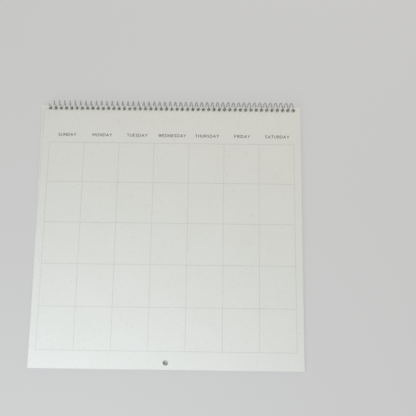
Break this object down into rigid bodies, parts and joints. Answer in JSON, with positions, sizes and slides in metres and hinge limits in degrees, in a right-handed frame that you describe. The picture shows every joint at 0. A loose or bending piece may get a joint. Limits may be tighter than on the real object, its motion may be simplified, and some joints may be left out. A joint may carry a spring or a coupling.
{
  "type": "wall calendar",
  "caption": "Square wall calendar lying flat: leaves with a blank month grid on view, a helical coil along the top edge, the front cover turned round behind, and a hang hole.",
  "frame": {"origin": "middle of the hang hole, on the back of the block of leaves", "axes": "+X to the right across the page, +Y up the page to the coil, +Z out of the month page"},
  "size_m": [0.3088, 0.3104, 0.0106],
  "materials": {
    "leaves": "matt",
    "cover": "matt",
    "grid_ink": "matt",
    "coil": "gloss"
  },
  "bodies": {
    "block": {"page_block": "leaves", "month_grid": "grid_ink"},
    "cover": {"front_cover": "cover"},
    "binding": {"coil": "coil"}
  },
  "joints": [
    {"name": "cover_turn", "type": "hinge", "parent": "block", "child": "cover", "pos_m": [0, 0.29791, 0.0025], "axis": [1, 0, 0], "range_deg": [0, 210]},
    {"name": "coil_shift", "type": "slide", "parent": "block", "child": "binding", "axis": [1, 0, 0], "range_m": [-0.0014, 0]}
  ],
  "couplings": [
    {"joint": "coil_shift", "follows": "cover_turn", "m_per_rad": -0.00036833}
  ]
}
